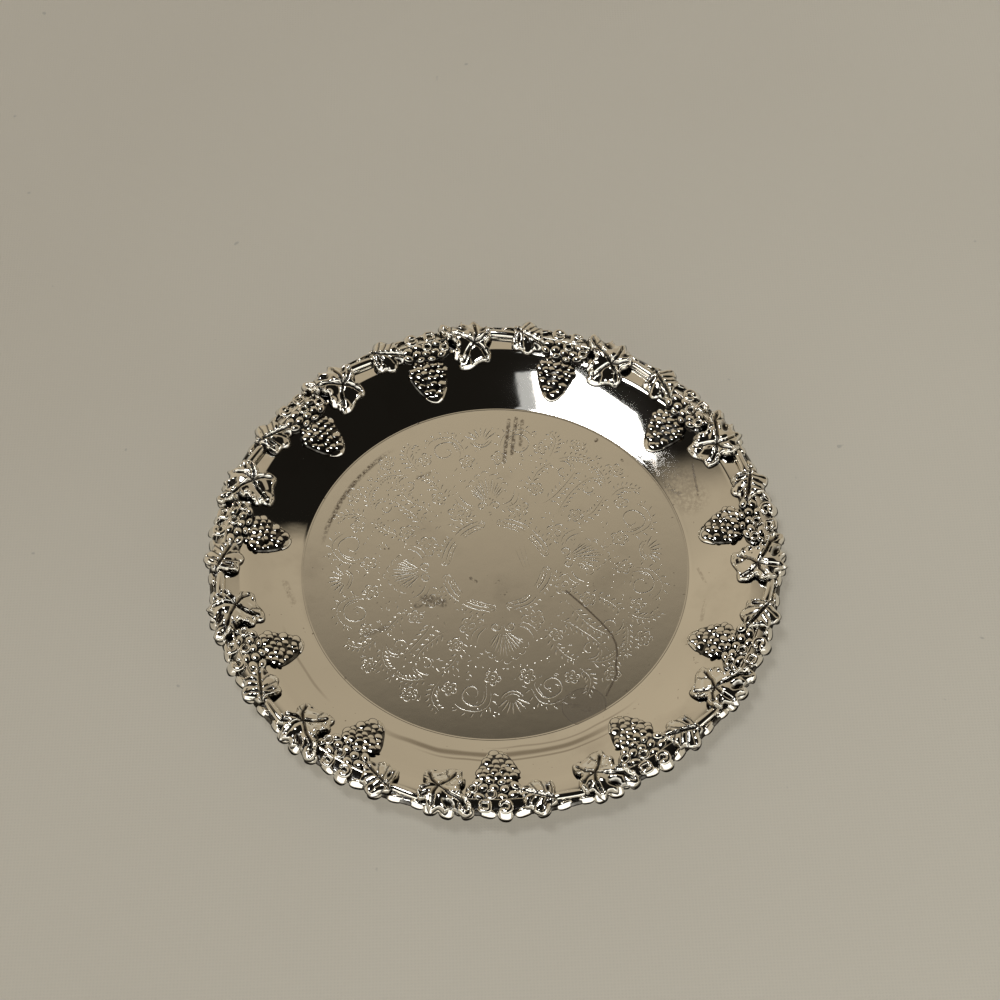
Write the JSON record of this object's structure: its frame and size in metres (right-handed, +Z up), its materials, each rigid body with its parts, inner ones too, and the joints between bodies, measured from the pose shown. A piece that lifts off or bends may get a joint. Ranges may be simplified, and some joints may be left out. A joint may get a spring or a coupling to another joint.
{
  "type": "trinket dish",
  "caption": "Small round silver-plated dish with a flat engraved well, a sloped mirror wall and a cast fruiting-vine border on its rim.",
  "frame": {"origin": "centre of the flat underside, on the surface that the dish stands on", "axes": "+Z up out of the well; +Y away from the viewer of the picture, +X to the viewer's right"},
  "size_m": [0.1646, 0.1649, 0.0103],
  "materials": {
    "dish_silver": "mirror-polished silver plate, lightly tarnished",
    "vine_silver": "polished cast silver plate, dark in its hollows",
    "leaf_silver": "polished cast silver plate, dark in its veins",
    "grape_silver": "polished cast silver plate, dark between the berries"
  },
  "bodies": {
    "root": {"dish_pan": "dish_silver", "vine_segment_01": "vine_silver", "vine_segment_02": "vine_silver", "vine_segment_03": "vine_silver", "vine_segment_04": "vine_silver", "vine_segment_05": "vine_silver", "vine_segment_06": "vine_silver", "vine_segment_07": "vine_silver", "vine_segment_08": "vine_silver", "vine_segment_09": "vine_silver", "vine_segment_10": "vine_silver", "vine_segment_11": "vine_silver", "large_leaf_01": "leaf_silver", "large_leaf_02": "leaf_silver", "large_leaf_03": "leaf_silver", "large_leaf_04": "leaf_silver", "large_leaf_05": "leaf_silver", "large_leaf_06": "leaf_silver", "large_leaf_07": "leaf_silver", "large_leaf_08": "leaf_silver", "large_leaf_09": "leaf_silver", "large_leaf_10": "leaf_silver", "large_leaf_11": "leaf_silver", "small_leaf_01": "leaf_silver", "small_leaf_02": "leaf_silver", "small_leaf_03": "leaf_silver", "small_leaf_04": "leaf_silver", "small_leaf_05": "leaf_silver", "small_leaf_06": "leaf_silver", "small_leaf_07": "leaf_silver", "small_leaf_08": "leaf_silver", "small_leaf_09": "leaf_silver", "small_leaf_10": "leaf_silver", "small_leaf_11": "leaf_silver", "grape_bunch_01": "grape_silver", "grape_bunch_02": "grape_silver", "grape_bunch_03": "grape_silver", "grape_bunch_04": "grape_silver", "grape_bunch_05": "grape_silver", "grape_bunch_06": "grape_silver", "grape_bunch_07": "grape_silver", "grape_bunch_08": "grape_silver", "grape_bunch_09": "grape_silver", "grape_bunch_10": "grape_silver", "grape_bunch_11": "grape_silver"}
  },
  "joints": []
}
